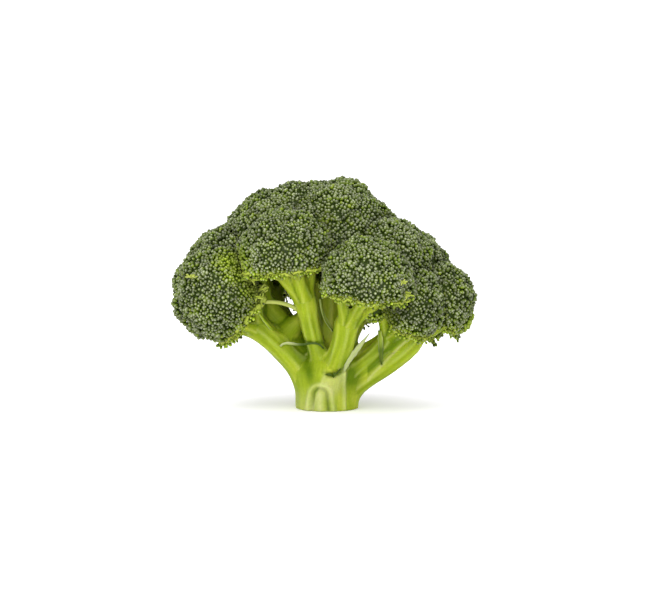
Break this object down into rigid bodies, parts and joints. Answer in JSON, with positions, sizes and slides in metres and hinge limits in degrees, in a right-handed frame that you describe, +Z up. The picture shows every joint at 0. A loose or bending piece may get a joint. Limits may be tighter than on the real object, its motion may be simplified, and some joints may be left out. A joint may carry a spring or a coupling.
{
  "type": "broccoli head",
  "caption": "Head of broccoli standing on its cut stalk: short thick stalk dividing into branches that carry domed florets of flower buds, with scraps of leaf in the forks.",
  "frame": {"origin": "centre of the stalk's flat cut, on which the head stands", "axes": "+Z up along the stalk, +X to the right and along the crown's greatest width, -Y towards the viewer"},
  "size_m": [0.1659, 0.1489, 0.1275],
  "materials": {
    "stalk": "satin waxy skin, yellow-green with paler streaks along the branches",
    "floret": "matt, bluish grey-green buds with a waxy bloom, yellow-green in the hollows and along the rims",
    "leaf": "thin, matt, pale green with a darker upper side"
  },
  "bodies": {
    "root": {"stalk": "stalk", "floret_top": "floret", "floret_upper_left": "floret", "floret_upper_right": "floret", "floret_front_left": "floret", "floret_front_right": "floret", "floret_right_front": "floret", "floret_right_upper": "floret", "floret_right_low": "floret", "floret_left_upper": "floret", "floret_left_low": "floret", "floret_back_left": "floret", "floret_back_right": "floret", "floret_back_low": "floret", "floret_back_left_low": "floret", "floret_back_right_low": "floret", "leaf_front": "leaf", "leaf_left_fork": "leaf", "leaf_front_fork": "leaf", "leaf_middle": "leaf", "leaf_right": "leaf", "leaf_left": "leaf", "leaf_back": "leaf"}
  },
  "joints": []
}
